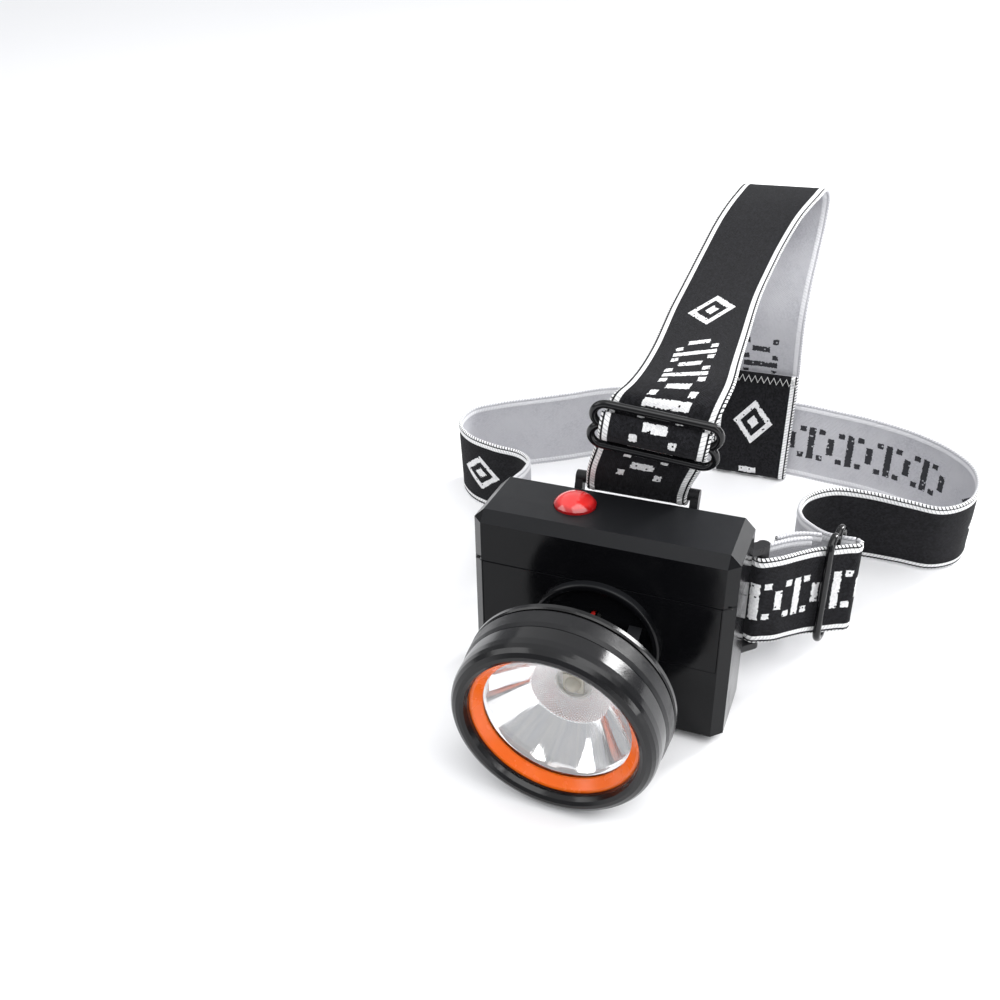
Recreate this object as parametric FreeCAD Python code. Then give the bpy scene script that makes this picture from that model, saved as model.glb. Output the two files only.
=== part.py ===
"""Miner's cap lamp: a tilting LED lamp head on a battery box, with a two-strap head harness.

The lamp rests the way it is put down on a table: the box leans back on its lower rear edge and on
the lamp head's rear flange, and the webbing stands behind it. Three frames are used:
  box frame   X to the right, Y back, Z up, origin at the middle of the box's lower rear edge;
  head frame  origin on the tilt pin, the lamp axis along -Y;
  part frame  +Z up, z = 0 on the table, origin at the middle of the whole part's footprint.
All lengths are millimetres.
"""

import FreeCAD
import Part

import math
import os

V = FreeCAD.Vector
X_AXIS = V(1, 0, 0)
Y_AXIS = V(0, 1, 0)
Z_AXIS = V(0, 0, 1)

# ---- driving dimensions: battery box ------------------------------------------------------------
BOX_W = 65.0
BOX_D = 20.0
BOX_H = 52.0
BOX_CHAMFER = 2.6
BOX_FOOT_CHAMFER = 0.8
WALL = 1.8
SEAM_Z = 38.5
SEAM_GAP = 0.3
PLATE_HALF_W = 29.5
PLATE_Z0 = 20.4
PLATE_FIT = 0.15
BRACKET_T = 2.0

# ---- driving dimensions: lamp head (stations are measured forward from the accent ring) ---------
PIVOT_Y = -26.0
PIVOT_Z = 22.5
HEAD_TILT = 4.9
RING_TO_PIVOT = 25.7
BEZEL_R = 24.4
FLANGE_R = 25.1
APERTURE_R = 17.6
LED_STATION = -16.4

# ---- driving dimensions: power button -----------------------------------------------------------
BUTTON_X = -9.8
BUTTON_Y = -8.0
BUTTON_R = 5.2
BUTTON_RISE = 3.2

# ---- driving dimensions: harness ----------------------------------------------------------------
WEB_W = 25.4
WEB_T = 1.3
BAR_R = 1.6
WIRE_R = 1.0
GLIDE_H = 14.0
GLIDE_W = 31.2

# The lean that brings the lower edge of the rear flange down to the table.
FLANGE_AHEAD = RING_TO_PIVOT - 12.3
_tilt = math.radians(HEAD_TILT)
_low_y = PIVOT_Y - FLANGE_AHEAD * math.cos(_tilt) + FLANGE_R * math.sin(_tilt)
_low_z = PIVOT_Z - FLANGE_AHEAD * math.sin(_tilt) - FLANGE_R * math.cos(_tilt)
LEAN = math.degrees(math.atan2(-_low_z, -_low_y))


# ---- harness routes (on the table, origin at the middle of the box's lower rear edge) -----------
BEND_R = 2.4
SIDE_BAR_AT = (34.0, 9.8)
TOP_BAR_AT = (9.0, 53.0)


def wrap(centre, start, stop, steps, tail, axis="z"):
    """Route points round a bar; angles in degrees in the plane across the bar."""
    points = []
    for i in range(steps + 1):
        a = math.radians(start + (stop - start) * i / steps)
        u = centre[0] + BEND_R * math.cos(a)
        w = centre[1] + BEND_R * math.sin(a)
        points.append((u, w) + tail if axis == "z" else (tail[0], u, w) + tail[1:])
    return points


# band: x, y, height of the middle, lean of the top edge towards +Y
BAND_ROUTE = [
    (-36.3, 28.0, 22.0, 0.02), (-34.0, 19.0, 23.8, 0.06), (-32.0, 13.0, 25.0, 0.1)]
BAND_ROUTE += wrap((-SIDE_BAR_AT[0], SIDE_BAR_AT[1]), 10, -200, 5, (25.2, 0.1))
BAND_ROUTE += [
    (-37.4, 14.0, 24.8, 0.08), (-38.6, 20.0, 23.8, 0.04), (-39.4, 29.0, 22.0, 0.0),
    (-40.6, 40.0, 18.0, 0.0), (-43.0, 50.0, 15.0, 0.0), (-49.0, 56.2, 13.1, 0.0), (-58.0, 58.0, 12.7, 0.0),
    (-68.0, 61.5, 12.7, 0.0), (-74.3, 68.5, 12.7, 0.0), (-73.8, 76.5, 12.8, 0.06), (-67.0, 82.5, 12.8, 0.1),
    (-57.0, 88.5, 12.8, 0.14), (-47.0, 94.5, 12.8, 0.16), (-36.0, 101.5, 12.9, 0.18), (-24.0, 105.3, 13.3, 0.2),
    (-10.0, 106.3, 14.2, 0.2), (0.0, 106.0, 15.0, 0.2), (16.0, 106.0, 15.0, 0.2), (31.0, 106.0, 14.6, 0.2),
    (41.0, 106.4, 13.5, 0.2), (53.0, 105.5, 12.9, 0.16), (66.0, 101.5, 12.8, 0.1), (76.0, 95.5, 12.8, 0.04),
    (82.5, 88.0, 12.8, -0.02), (84.3, 79.5, 12.8, -0.08), (82.0, 71.0, 12.8, -0.14), (75.5, 65.8, 12.8, -0.18),
    (66.0, 66.2, 12.8, -0.16), (55.0, 66.6, 12.8, -0.1), (46.0, 64.5, 12.8, -0.02), (40.0, 59.0, 13.0, 0.0),
    (38.2, 51.5, 13.6, 0.04), (39.6, 43.5, 15.2, 0.08), (43.4, 35.8, 17.6, 0.14), (47.4, 30.2, 19.8, 0.18),
    (51.4, 28.2, 20.9, 0.2), (54.6, 27.9, 21.2, 0.2)]
# tail: from the fold beside the side buckle, round the right bar, and back behind itself
TAIL_ROUTE = [
    (55.0, 27.8, 21.2, 0.2), (56.2, 26.9, 21.2, 0.2), (55.7, 25.5, 21.2, 0.2), (53.4, 24.3, 21.3, 0.2),
    (49.7, 22.1, 21.5, 0.2), (46.0, 19.2, 22.3, 0.19), (42.2, 14.9, 23.4, 0.17), (38.6, 10.4, 24.6, 0.14)]
TAIL_ROUTE += wrap(SIDE_BAR_AT, -45, -225, 4, (25.2, 0.1))
TAIL_ROUTE += [(35.6, 15.2, 24.9, 0.12), (39.6, 19.4, 23.9, 0.16), (44.0, 22.8, 22.8, 0.2)]
DOUBLING_ROUTE = [
    (36.0, 18.2, 24.8, 0.12), (39.2, 21.7, 24.0, 0.16), (42.8, 24.4, 23.0, 0.18), (46.2, 25.8, 22.2, 0.2)]
# top strap: x, y, z of the middle, yaw and roll of the width direction in degrees
TOP_ROUTE = [
    (7.4, 7.0, 71.0, 5, -8), (6.2, 8.8, 65.0, 4, -6), (4.6, 10.6, 59.0, 2, -3)]
TOP_ROUTE += wrap(TOP_BAR_AT, 15, -195, 5, (2.6, 0, 0), "x")
TOP_ROUTE += [
    (3.8, 4.9, 59.0, 2, -3), (5.9, 3.9, 65.0, 4, -6), (7.4, 3.1, 70.0, 5, -8), (8.6, 2.7, 75.0, 6, -8),
    (9.9, 4.4, 79.4, 12, -7), (11.2, 11.0, 81.0, 20, -3), (11.0, 21.0, 80.6, 27, -1), (10.4, 36.0, 80.4, 31, 0),
    (9.6, 56.0, 82.0, 32, 0), (10.0, 70.0, 84.0, 31, 0), (10.8, 84.0, 86.6, 28, 0),
    (12.4, 100.0, 90.0, 20, 0),
    (14.6, 114.0, 92.0, 8, 0), (15.8, 124.5, 91.6, 1, 0), (16.2, 130.6, 86.8, 0, 0), (16.2, 128.6, 80.0, 0, 0),
    (16.1, 120.0, 73.0, 0, 0), (15.9, 111.5, 66.0, 0, 0), (15.7, 106.8, 57.5, 0, 0), (15.6, 107.4, 47.5, 0, 0),
    (15.6, 109.6, 37.0, 0, 0), (15.6, 110.1, 27.0, 0, 0), (15.6, 107.9, 14.6, 0, 0), (15.6, 105.6, 3.2, 0, 0),
    (15.6, 104.9, 1.2, 0, 0), (15.6, 103.6, 0.7, 0, 0), (15.6, 102.3, 1.4, 0, 0), (15.6, 102.0, 3.4, 0, 0),
    (15.6, 104.1, 14.6, 0, 0), (15.6, 106.5, 26.6, 0, 0), (15.6, 107.9, 36.5, 0, 0)]
TOP_GLIDE = (8.3, 0.6, 73.2)
TOP_GLIDE_BARS = (1.0, 0.1, -0.14)
TOP_SLIDE_AXIS = (1.0, -0.6, 5.0)
SIDE_GLIDE = (50.2, 25.1, 21.5)
SIDE_GLIDE_BARS = (0.0, 0.2, 1.0)
SIDE_GLIDE_ACROSS = (0.16, 0.98, 0.0)


# ---- shape helpers ------------------------------------------------------------------------------
def block(x0, x1, y0, y1, z0, z1):
    """A box between two corners."""
    return Part.makeBox(x1 - x0, y1 - y0, z1 - z0, V(x0, y0, z0))


def rod(start, direction, radius, length):
    """A cylinder from a point along a direction."""
    return Part.makeCylinder(radius, length, V(*start), V(*direction))


def fuse(shapes):
    """One solid from overlapping or touching solids."""
    joined = shapes[0].multiFuse(shapes[1:])
    return joined.removeSplitter()


def group(shapes):
    """Separate solids kept together in one node."""
    return Part.makeCompound(shapes)


def turned(outline):
    """A solid of revolution about the lamp axis, from (radius, station) corner points."""
    points = [V(r, -(s + RING_TO_PIVOT), 0) for r, s in outline]
    face = Part.Face(Part.makePolygon(points + points[:1]))
    return face.revolve(V(0, 0, 0), Y_AXIS, 360)


def lead(points, radius, bend):
    """A wire along straight runs that are joined by tangent arcs."""
    edges = []
    start = V(*points[0])
    for before, corner, after in zip(points, points[1:], points[2:]):
        back = (V(*before) - V(*corner)).normalize()
        ahead = (V(*after) - V(*corner)).normalize()
        half = back.getAngle(ahead) / 2
        trim = bend / math.tan(half)
        enter = V(*corner) + back * trim
        leave = V(*corner) + ahead * trim
        middle_way = (back + ahead).normalize()
        middle = V(*corner) + middle_way * (bend / math.sin(half) - bend)
        edges.append(Part.LineSegment(start, enter).toShape())
        edges.append(Part.Arc(enter, middle, leave).toShape())
        start = leave
    edges.append(Part.LineSegment(start, V(*points[-1])).toShape())
    path = Part.Wire(edges)
    ring = Part.Wire([Part.Circle(V(*points[0]), edges[0].tangentAt(0), radius).toShape()])
    return path.makePipeShell([ring], True, True)


def on_box(shape):
    """Box frame to part frame before the final shift: lean back about the lower rear edge."""
    shape = shape.copy()
    shape.rotate(V(0, 0, 0), X_AXIS, -LEAN)
    return shape


def on_head(shape):
    """Head frame to box frame, then leaned."""
    shape = shape.copy()
    shape.rotate(V(0, 0, 0), X_AXIS, HEAD_TILT)
    shape.translate(V(0, PIVOT_Y, PIVOT_Z))
    return on_box(shape)


def leaned(x, y, z):
    """A point of the box frame, leaned."""
    a = math.radians(LEAN)
    return V(x, y * math.cos(a) + z * math.sin(a), z * math.cos(a) - y * math.sin(a))


# ---- battery box --------------------------------------------------------------------------------
CAVITY = (-BOX_W / 2 + WALL, BOX_W / 2 - WALL, -BOX_D + WALL, -WALL)
BOARD_Z = 39.9
BOARD_T = 1.2
CELL_R = 7.1
CELL_L = 50.0
CELL_Y = -10.0
CELL_ZS = (9.4, 24.2)
POST_X = 19.0
BRACKET_SCREW_X = 28.0
BRACKET_SCREW_ZS = (7.6, 45.0)
BOSS_DISC_R = 16.4
BOSS_DISC_T = 2.2
BOSS_Z = 22.9
PLATE_LEDGE = 0.9
JACK_Z = 45.2
JACK_Y = -11.5
JACK_BORE_R = 1.9
CHEEK_IN = 8.4
CHEEK_OUT = 11.6
KNUCKLE_R = 4.8
KNUCKLE_HALF_W = 8.1
LEAD_HOLE_Z = 30.0
HEAD_LEAD_Z = 7.5
HEAD_SCREWS = [(22.3 * math.cos(math.radians(a)), 22.3 * math.sin(math.radians(a))) for a in (90, 210, 330)]
BRACKET_HALF_W = 31.0
ARM_T = 2.0
SIDE_BAR = (34.0, 7.3, 26.0)
TOP_BAR = (2.4, 3.8, 53.6)


def box_outside():
    """The whole box outline, with its wide bevels and a narrow foot bevel."""
    body = block(-BOX_W / 2, BOX_W / 2, -BOX_D, 0, 0, BOX_H)
    wide = []
    narrow = []
    for edge in body.Edges:
        middle = edge.BoundBox.Center
        front = abs(middle.y + BOX_D) < 0.01
        top = abs(middle.z - BOX_H) < 0.01
        foot = abs(middle.z) < 0.01
        side = abs(abs(middle.x) - BOX_W / 2) < 0.01
        if foot and (front or side):
            narrow.append(edge)
        elif (front and (top or side)) or (top and side):
            wide.append(edge)
    body = body.makeChamfer(BOX_CHAMFER, wide)
    keep = [e for e in body.Edges if abs(e.BoundBox.ZMax) < 0.01 and e.BoundBox.Center.y < -0.01]
    return body.makeChamfer(BOX_FOOT_CHAMFER, keep)


def cavity(z0, z1):
    """The box's inside between two heights."""
    return block(*CAVITY, z0, z1)


def plate_window(fit):
    """The opening for the lamp mounting plate, grown by the given fit."""
    return block(-PLATE_HALF_W - fit, PLATE_HALF_W + fit, -BOX_D - 1, -BOX_D + WALL + 0.01,
                 PLATE_Z0 - fit, SEAM_Z + 1)


def upper_case():
    """Lid of the box: top wall, upper walls, an inner lip, screw bosses and board posts."""
    shell = box_outside().common(block(-40, 40, -30, 10, SEAM_Z + SEAM_GAP, 60))
    shell = shell.cut(cavity(SEAM_Z, BOX_H - WALL))
    x0, x1, y0, y1 = CAVITY
    lip_z0 = SEAM_Z - 1.2
    web_z1 = SEAM_Z + SEAM_GAP + 0.8
    lip = block(x0 + 0.1, x1 - 0.1, y0 + 0.1 + WALL, y1 - 0.1, lip_z0, web_z1)
    web = block(x0, x1, y0, y1, SEAM_Z + SEAM_GAP, web_z1)
    hollow = block(x0 + 1.0, x1 - 1.0, y0 + 1.0 + WALL, y1 - 1.0, 30, 45)
    parts = [shell, lip.fuse(web).cut(hollow)]
    for x in (-BRACKET_SCREW_X, BRACKET_SCREW_X):
        parts.append(rod((x, -WALL - 4.6, BRACKET_SCREW_ZS[1]), (0, 1, 0), 2.2, 4.8))
    for x in (-POST_X, POST_X):
        parts.append(rod((x, -10, BOARD_Z + BOARD_T), (0, 0, 1), 2.2, BOX_H - WALL - BOARD_Z - 1.0))
    case = fuse(parts)
    case = case.cut(block(-2.6, 2.6, y0 + WALL, y0 + WALL + 1.4, 30, web_z1 + 1))
    case = case.cut(rod((BUTTON_X, BUTTON_Y, 48), (0, 0, 1), BUTTON_R + 0.08, 8))
    case = case.cut(rod((-40, JACK_Y, JACK_Z), (1, 0, 0), JACK_BORE_R + 0.6, 12))
    for x in (-BRACKET_SCREW_X, BRACKET_SCREW_X):
        case = case.cut(rod((x, -WALL - 4.2, BRACKET_SCREW_ZS[1]), (0, 1, 0), 1.0, 8))
    for x in (-POST_X, POST_X):
        case = case.cut(rod((x, -10, BOARD_Z), (0, 0, 1), 0.9, 7))
    return case


def lower_case():
    """Battery tub: floor, lower walls, the window for the mounting plate, and screw bosses."""
    shell = box_outside().common(block(-40, 40, -30, 10, -1, SEAM_Z))
    shell = shell.cut(cavity(WALL, SEAM_Z + 1))
    shell = shell.cut(plate_window(PLATE_FIT))
    parts = [shell]
    for x in (-BRACKET_SCREW_X, BRACKET_SCREW_X):
        parts.append(rod((x, -WALL - 4.6, BRACKET_SCREW_ZS[0]), (0, 1, 0), 2.2, 4.8))
    case = fuse(parts)
    for x in (-BRACKET_SCREW_X, BRACKET_SCREW_X):
        case = case.cut(rod((x, -WALL - 4.2, BRACKET_SCREW_ZS[0]), (0, 1, 0), 1.0, 8))
    return case


def case_seal():
    """Rubber gasket on the tub's rim, outside the lid's lip."""
    x0, x1, y0, y1 = CAVITY
    ring = block(x0 - 1.0, x1 + 1.0, y0 - 1.0, y1 + 1.0, SEAM_Z, SEAM_Z + SEAM_GAP)
    ring = ring.cut(block(x0 + 0.02, x1 - 0.02, y0 + 0.02, y1 - 0.02, 30, 45))
    return ring


def cheek(side):
    """One ear of the tilt hinge, standing on the round boss."""
    x0, x1 = sorted((side * CHEEK_IN, side * CHEEK_OUT))
    base_y = -BOX_D - BOSS_DISC_T + 1.6
    profile = Part.makePolygon([V(x0, PIVOT_Y, PIVOT_Z - KNUCKLE_R), V(x0, PIVOT_Y, PIVOT_Z + KNUCKLE_R),
                                V(x0, base_y, PIVOT_Z + KNUCKLE_R + 2), V(x0, base_y, PIVOT_Z - KNUCKLE_R - 2),
                                V(x0, PIVOT_Y, PIVOT_Z - KNUCKLE_R)])
    ear = Part.Face(profile).extrude(V(x1 - x0, 0, 0))
    tip = rod((x0, PIVOT_Y, PIVOT_Z), (1, 0, 0), KNUCKLE_R, x1 - x0)
    return ear.fuse(tip)


def lamp_mount_plate():
    """Front plate with the round dished boss and the hinge's two ears."""
    slab = block(-PLATE_HALF_W, PLATE_HALF_W, -BOX_D, -BOX_D + WALL, PLATE_Z0, SEAM_Z - 0.05)
    disc = rod((0, -BOX_D, BOSS_Z), (0, -1, 0), BOSS_DISC_R, BOSS_DISC_T)
    rim = [e for e in disc.Edges if e.BoundBox.YMax < -BOX_D - 1 and len(e.Vertexes) == 1]
    disc = disc.makeFillet(0.8, rim)
    dish = Part.makeCone(BOSS_DISC_R - 1.4, BOSS_DISC_R - 2.6, 1.6,
                         V(0, -BOX_D - BOSS_DISC_T, BOSS_Z), Y_AXIS)
    disc = disc.cut(dish)
    ledge = block(-PLATE_HALF_W - PLATE_LEDGE, PLATE_HALF_W + PLATE_LEDGE, -BOX_D + WALL, -BOX_D + WALL + 0.8,
                  PLATE_Z0 - PLATE_LEDGE, SEAM_Z - 1.6)
    plate = fuse([slab, ledge, disc, cheek(-1), cheek(1)])
    plate = plate.cut(rod((-20, PIVOT_Y, PIVOT_Z), (1, 0, 0), 1.5, 40))
    plate = plate.cut(rod((0, -30, LEAD_HOLE_Z), (0, 1, 0), 1.6, 20))
    return plate


def lug(bar_centre, half_slot, along_x):
    """A webbing bar across its two arms' tips."""
    direction = (1, 0, 0) if along_x else (0, 0, 1)
    reach = half_slot + ARM_T
    start = V(*bar_centre) - V(*direction) * reach
    return rod(tuple(start), direction, BAR_R, 2 * reach)


def strap_bracket():
    """Rear plate with three open lugs whose bars carry the webbing."""
    plate = block(-BRACKET_HALF_W, BRACKET_HALF_W, 0, BRACKET_T, 4.5, 49.5)
    corners = [e for e in plate.Edges if abs(e.BoundBox.YLength - BRACKET_T) < 0.01]
    plate = plate.makeFillet(3.0, corners)
    parts = [plate]
    half_slot = WEB_W / 2 + 0.9
    for side in (-1, 1):
        bx, by, bz = side * SIDE_BAR[0], SIDE_BAR[1], SIDE_BAR[2]
        parts.append(lug((bx, by, bz), half_slot, False))
        for z in (bz - half_slot - ARM_T, bz + half_slot):
            arm = Part.makePolygon([V(side * 29.5, 0.3, z), V(bx + side * 1.3, by - 1.0, z),
                                    V(bx - side * 0.2, by + BAR_R, z), V(side * 26.5, BRACKET_T - 0.2, z),
                                    V(side * 26.5, 0.3, z), V(side * 29.5, 0.3, z)])
            parts.append(Part.Face(arm).extrude(V(0, 0, ARM_T)))
    bx, by, bz = TOP_BAR
    parts.append(lug(TOP_BAR, half_slot, True))
    for x in (bx - half_slot - ARM_T, bx + half_slot):
        arm = Part.makePolygon([V(x, 0.3, 47.5), V(x, by - 1.3, bz + 0.9), V(x, by + BAR_R, bz),
                                V(x, BRACKET_T - 0.2, 44), V(x, 0.3, 44), V(x, 0.3, 47.5)])
        parts.append(Part.Face(arm).extrude(V(ARM_T, 0, 0)))
    bracket = fuse(parts)
    for x in (-BRACKET_SCREW_X, BRACKET_SCREW_X):
        for z in BRACKET_SCREW_ZS:
            bracket = bracket.cut(rod((x, -1, z), (0, 1, 0), 1.15, 5))
    return bracket


def screw(tip, direction, shank_r, length, head_r, head_t):
    """A pan-head screw whose shank starts at its tip and ends under its head."""
    shank = rod(tip, direction, shank_r, length)
    seat = V(*tip) + V(*direction) * length
    head = rod(tuple(seat), direction, head_r, head_t)
    rim = [e for e in head.Edges if abs((e.CenterOfMass - seat).dot(V(*direction)) - head_t) < 0.01]
    head = head.makeFillet(head_t * 0.45, [e for e in rim if len(e.Vertexes) == 1])
    drive_w = head_r * 0.35
    for angle in (0, 90):
        slot = Part.makeBox(head_r * 1.1, drive_w, head_t * 0.5, V(-head_r * 0.55, -drive_w / 2, 0))
        slot.rotate(V(0, 0, 0), Z_AXIS, angle)
        turn = FreeCAD.Rotation(Z_AXIS, V(*direction))
        slot.Placement = FreeCAD.Placement(seat + V(*direction) * head_t * 0.55, turn).multiply(slot.Placement)
        head = head.cut(slot)
    return shank.fuse(head).removeSplitter()


def bracket_screws():
    """Four self-tapping screws through the strap bracket into the case bosses."""
    made = []
    for x in (-BRACKET_SCREW_X, BRACKET_SCREW_X):
        for z in BRACKET_SCREW_ZS:
            made.append(screw((x, -WALL - 4.0, z), (0, 1, 0), 1.0, WALL + 4.0 + BRACKET_T, 1.9, 1.2))
    return group(made)


def battery_cell(z):
    """One rechargeable cell lying across the tub: can, raised cap and crimp groove."""
    can = rod((-CELL_L / 2, CELL_Y, z), (1, 0, 0), CELL_R, CELL_L - 1.0)
    groove = Part.makeTorus(CELL_R + 0.2, 0.6, V(CELL_L / 2 - 4, CELL_Y, z), X_AXIS)
    cap = rod((CELL_L / 2 - 1.0, CELL_Y, z), (1, 0, 0), 2.8, 1.0)
    return can.cut(groove).fuse(cap)


def cell_tab_joined():
    """Nickel strip that puts the two cells in series at their left ends."""
    return block(-CELL_L / 2 - 0.3, -CELL_L / 2, CELL_Y - 3, CELL_Y + 3, CELL_ZS[0] - 4, CELL_ZS[1] + 4)


def cell_tabs_output():
    """Two nickel strips on the right ends, one for each output lead."""
    made = []
    for z in CELL_ZS:
        made.append(block(CELL_L / 2, CELL_L / 2 + 0.3, CELL_Y - 3, CELL_Y + 3, z - 4, z + 4))
    return group(made)


def driver_board():
    """Circuit board that carries the switch and the charge jack."""
    board = block(-29.4, 23.5, -16.6, -3.6, BOARD_Z, BOARD_Z + BOARD_T)
    for x in (-POST_X, POST_X):
        board = board.cut(rod((x, -10, BOARD_Z - 1), (0, 0, 1), 1.1, 4))
    return board


def board_parts():
    """Charge controller, driver chip, inductor and two capacitors on the board."""
    top = BOARD_Z + BOARD_T
    made = [block(2.0, 7.0, -13.5, -9.5, top, top + 1.5), block(9.0, 13.0, -8.0, -5.0, top, top + 1.4),
            rod((10.5, -13.0, top), (0, 0, 1), 2.6, 3.0)]
    for x in (0.0, 4.0):
        made.append(block(x, x + 2.0, -7.0, -5.8, top, top + 0.9))
    return group(made)


def board_screws():
    """Two screws that hold the board to the lid's posts."""
    made = []
    for x in (-POST_X, POST_X):
        made.append(screw((x, -10, BOARD_Z + 6.0), (0, 0, -1), 0.9, 6.0, 1.7, 1.1))
    return group(made)


def switch_body():
    """Latching push switch with a bore for its plunger."""
    z0 = BOARD_Z + BOARD_T
    body = block(BUTTON_X - 4, BUTTON_X + 4, BUTTON_Y - 4, BUTTON_Y + 4, z0, z0 + 5.2)
    return body.cut(rod((BUTTON_X, BUTTON_Y, z0 + 1.2), (0, 0, 1), 1.75, 6))


def switch_plunger():
    """The switch's plunger, from inside the body up to the cap."""
    return rod((BUTTON_X, BUTTON_Y, 44.0), (0, 0, 1), 1.65, 5.0)


def button_cap():
    """Domed button: retaining flange under the lid, straight collar and a low dome."""
    flange = rod((BUTTON_X, BUTTON_Y, 49.0), (0, 0, 1), BUTTON_R + 0.7, 0.8)
    collar = rod((BUTTON_X, BUTTON_Y, 49.8), (0, 0, 1), BUTTON_R, BOX_H - 49.8 + 0.6)
    rise = BUTTON_RISE - 0.6
    dome_r = (BUTTON_R ** 2 + rise ** 2) / (2 * rise)
    dome = Part.makeSphere(dome_r, V(BUTTON_X, BUTTON_Y, BOX_H + BUTTON_RISE - dome_r))
    over = block(BUTTON_X - 8, BUTTON_X + 8, BUTTON_Y - 8, BUTTON_Y + 8, BOX_H + 0.6, BOX_H + 8)
    return fuse([flange, collar, dome.common(over)])


def charge_jack():
    """Round charging inlet's body, with its bore open at the box's left side."""
    body = block(-BOX_W / 2 + WALL + 0.1, -22.2, JACK_Y - 3, JACK_Y + 3, BOARD_Z + BOARD_T, JACK_Z + 3.2)
    nose = rod((-BOX_W / 2 + 0.4, JACK_Y, JACK_Z), (1, 0, 0), JACK_BORE_R + 0.5, 3.0)
    body = body.fuse(nose)
    return body.cut(rod((-BOX_W / 2, JACK_Y, JACK_Z), (1, 0, 0), JACK_BORE_R, 8.5))


def charge_pin():
    """Centre pin of the charging inlet."""
    return rod((-BOX_W / 2 + 1.2, JACK_Y, JACK_Z), (1, 0, 0), 0.6, 7.3)


def battery_lead(z, y):
    """One output lead from a cell's right-hand strip up to the board."""
    return lead([(CELL_L / 2 + 0.3, y, z), (27.6, y, z), (27.6, y, 35.2), (21.5, y, 35.2),
                 (21.5, y, BOARD_Z)], 0.6, 1.5)


def lamp_lead(x):
    """One lamp lead from the board down to and through the boss."""
    return lead([(x, -15.6, BOARD_Z), (x, -15.6, LEAD_HOLE_Z), (x, -BOX_D - 0.4, LEAD_HOLE_Z)], 0.55, 2.0)


# ---- tilt hinge ---------------------------------------------------------------------------------
def tilt_screw():
    """Pivot screw through both ears and the lamp head's knuckle."""
    return screw((-14.4, PIVOT_Y, PIVOT_Z), (1, 0, 0), 1.5, 14.4 + CHEEK_OUT, 2.7, 1.5)


def tilt_nut():
    """Hexagon nut on the pivot screw."""
    across = 5.5
    corner = across / math.sqrt(3)
    points = []
    for i in range(7):
        a = math.radians(60 * i)
        points.append(V(-CHEEK_OUT - 2.3, PIVOT_Y + corner * math.cos(a), PIVOT_Z + corner * math.sin(a)))
    nut = Part.Face(Part.makePolygon(points)).extrude(V(2.3, 0, 0))
    return nut.cut(rod((-20, PIVOT_Y, PIVOT_Z), (1, 0, 0), 1.5, 12))


def friction_washers():
    """Two spring washers whose squeeze holds the lamp at its angle."""
    made = []
    for side in (-1, 1):
        x = side * (KNUCKLE_HALF_W + CHEEK_IN) / 2 - 0.1
        ring = rod((x, PIVOT_Y, PIVOT_Z), (1, 0, 0), 4.2, 0.2)
        made.append(ring.cut(rod((x - 1, PIVOT_Y, PIVOT_Z), (1, 0, 0), 1.5, 3)))
    return group(made)


# ---- lamp head (head frame; stations are given from the accent ring's front) --------------------
def along(station):
    """Y of a station in the head frame."""
    return -(station + RING_TO_PIVOT)


def bezel_ring():
    """Screw-on front bezel: rounded rim, sunken lip and threaded skirt."""
    return turned([(20.0, 0.9), (20.5, 2.0), (21.3, 2.5), (22.2, 2.5), (23.2, 2.0), (23.9, 1.1),
                   (24.25, 0.0), (24.4, -1.6), (BEZEL_R, -5.3), (22.0, -5.3), (22.0, -0.2), (20.0, -0.2)])


def accent_ring():
    """Coloured ring: a flat seat under the bezel lip and a cone down to the lens."""
    return turned([(20.6, -0.3), (19.7, -0.25), (19.2, -0.35), (APERTURE_R, -2.2), (APERTURE_R, -2.7),
                   (20.5, -2.7), (20.5, -1.2), (20.6, -1.2)])


def lens_seal():
    """O-ring pinched between the bezel and the head body's front edge."""
    return Part.makeTorus(21.3, 0.5, V(0, along(-2.1), 0), Y_AXIS)


def lens():
    """Flat clear window."""
    return turned([(0, -2.7), (20.4, -2.7), (20.4, -4.3), (0, -4.3)])


REFLECTOR_HOLE_R = 4.5
REFLECTOR_FRONT = -4.3
REFLECTOR_BACK = -15.5


def reflector_radius(station):
    """Inner radius of the parabolic bowl at a station."""
    depth = (station - REFLECTOR_BACK) / (REFLECTOR_FRONT - REFLECTOR_BACK)
    mouth_r = APERTURE_R + 0.1
    return math.sqrt(REFLECTOR_HOLE_R ** 2 + depth * (mouth_r ** 2 - REFLECTOR_HOLE_R ** 2))


def reflector():
    """Deep parabolic reflector with a seating flange."""
    steps = 10
    stations = []
    for i in range(steps + 1):
        stations.append(REFLECTOR_BACK + (REFLECTOR_FRONT - REFLECTOR_BACK) * (i / steps) ** 2)
    inner = [(reflector_radius(s), s) for s in stations]
    outer = [(reflector_radius(s) + 1.0, s) for s in stations if s < -5.6]
    rim = [(20.4, REFLECTOR_FRONT), (20.4, -5.5), (outer[-1][0] + 0.2, -5.5)]
    return turned(inner + rim + outer[::-1])


def head_body():
    """Middle band of the head: threaded neck, shelf for the reflector, screw seats at the back."""
    body = turned([(20.6, -2.7), (21.95, -2.7), (21.95, -5.5), (24.4, -5.5), (24.75, -6.6),
                   (25.0, -10.0), (24.8, -10.4), (19.5, -10.4), (19.5, -6.8), (18.9, -5.5), (20.6, -5.5)])
    for x, z in HEAD_SCREWS:
        body = body.cut(rod((x, along(-6.9), z), (0, 1, 0), 0.85, 5))
    return body


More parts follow.
